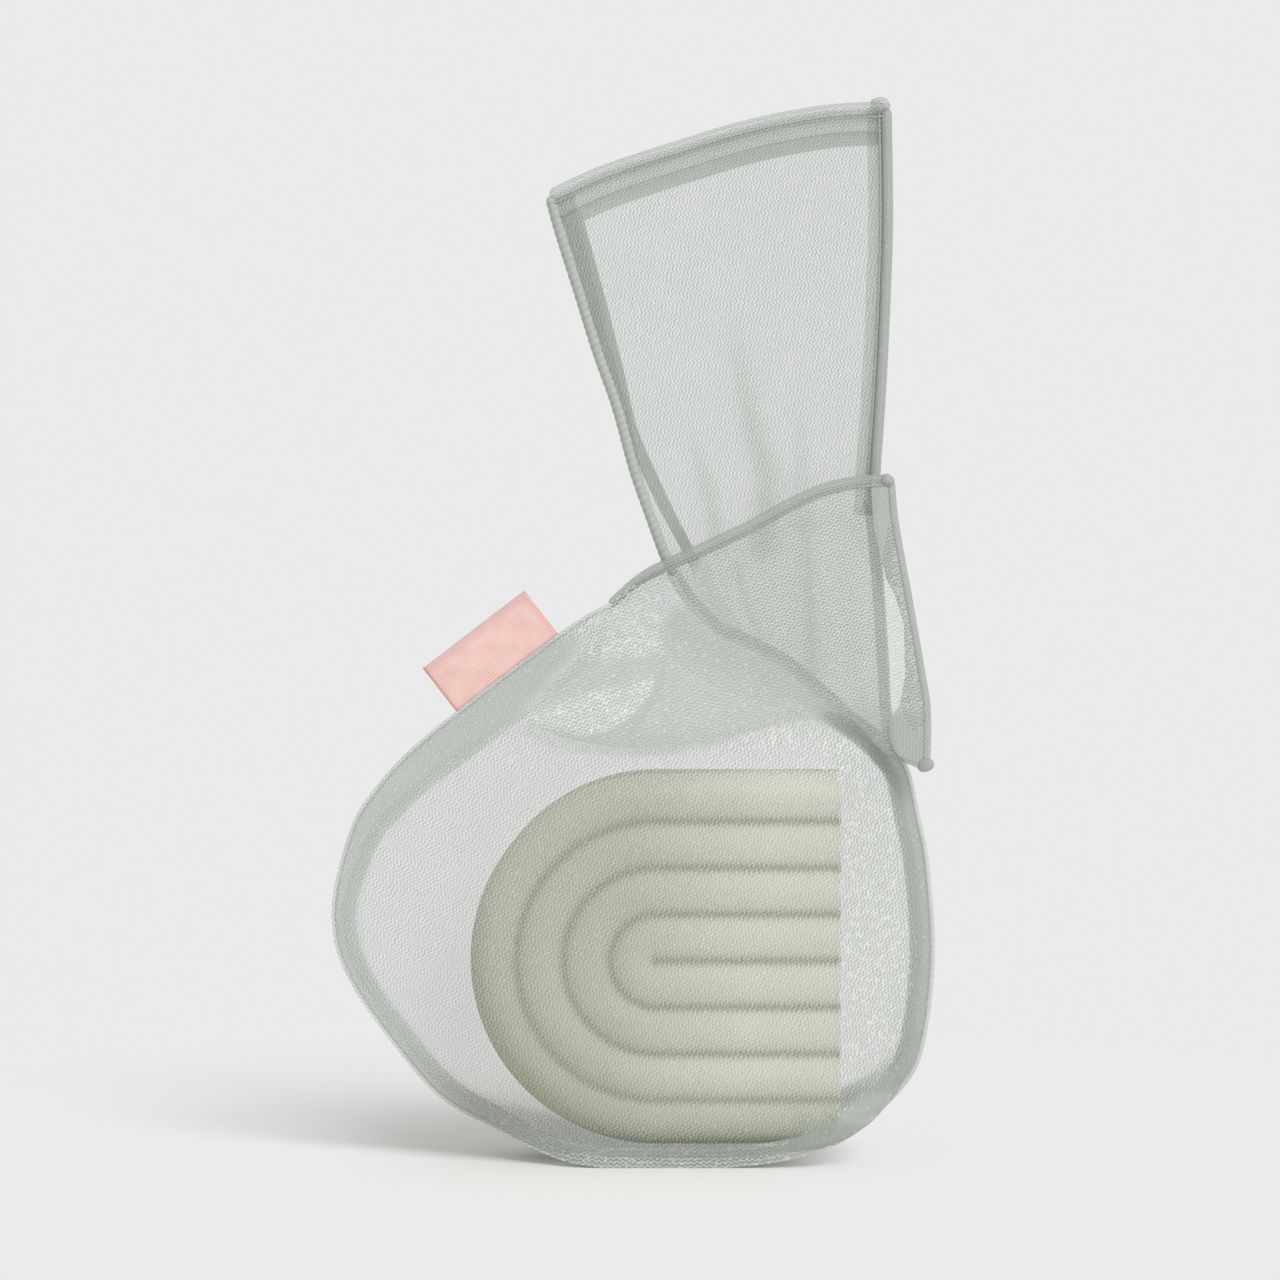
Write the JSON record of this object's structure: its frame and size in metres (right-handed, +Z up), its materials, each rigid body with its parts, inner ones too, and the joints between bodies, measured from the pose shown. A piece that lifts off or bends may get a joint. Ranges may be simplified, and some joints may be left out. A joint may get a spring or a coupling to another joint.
{
  "type": "soap saver bag",
  "caption": "Mesh pouch with overlocked edges, tied shut round an arch-shaped bar by two crossed ties, one standing up, with a woven side label.",
  "frame": {"origin": "on the floor, under the middle of the bag's bounding box", "axes": "+Z up, -Y out of the bag's front face, +X to the viewer's right"},
  "size_m": [0.105, 0.0262, 0.1847],
  "materials": {
    "mesh_cloth": "fine translucent knitted mesh",
    "overlock_thread": "overlocked thread roll",
    "wax_bar": "waxy, softly satin",
    "label_satin": "woven satin tape"
  },
  "bodies": {
    "pouch": {"conditioner_bar": "wax_bar", "body_front_panel": "mesh_cloth", "body_back_panel": "mesh_cloth", "side_seam_left": "overlock_thread", "side_seam_right": "overlock_thread", "bottom_seam": "overlock_thread", "front_tie_wrap": "mesh_cloth", "front_tie_top_seam": "overlock_thread", "rear_tie_wrap": "mesh_cloth"},
    "rear_tie": {"rear_tie_front_ply": "mesh_cloth", "rear_tie_back_ply": "mesh_cloth", "rear_tie_left_seam": "overlock_thread", "rear_tie_right_seam": "overlock_thread", "rear_tie_top_hem": "overlock_thread"},
    "front_tie_end": {"front_tie_end_front_ply": "mesh_cloth", "front_tie_end_back_ply": "mesh_cloth", "front_tie_end_top_seam": "overlock_thread", "front_tie_end_low_seam": "overlock_thread", "front_tie_end_hem": "overlock_thread"},
    "label": {"woven_label": "label_satin"}
  },
  "joints": [
    {"name": "rear_tie_bend", "type": "hinge", "parent": "pouch", "child": "rear_tie", "pos_m": [0.00421, 0, 0.10347], "axis": [0.9237, 0, 0.3832], "range_deg": [-60, 30], "stiffness_Nm_per_rad": 0.012},
    {"name": "front_tie_bend", "type": "hinge", "parent": "pouch", "child": "front_tie_end", "pos_m": [0.03629, -0.0055, 0.07883], "axis": [0.1301, 0, -0.9915], "range_deg": [-5, 60], "stiffness_Nm_per_rad": 0.003},
    {"name": "label_bend", "type": "hinge", "parent": "pouch", "child": "label", "pos_m": [-0.02147, 0, 0.08457], "axis": [0.7953, 0, 0.6062], "range_deg": [-45, 45], "stiffness_Nm_per_rad": 0.0008}
  ]
}
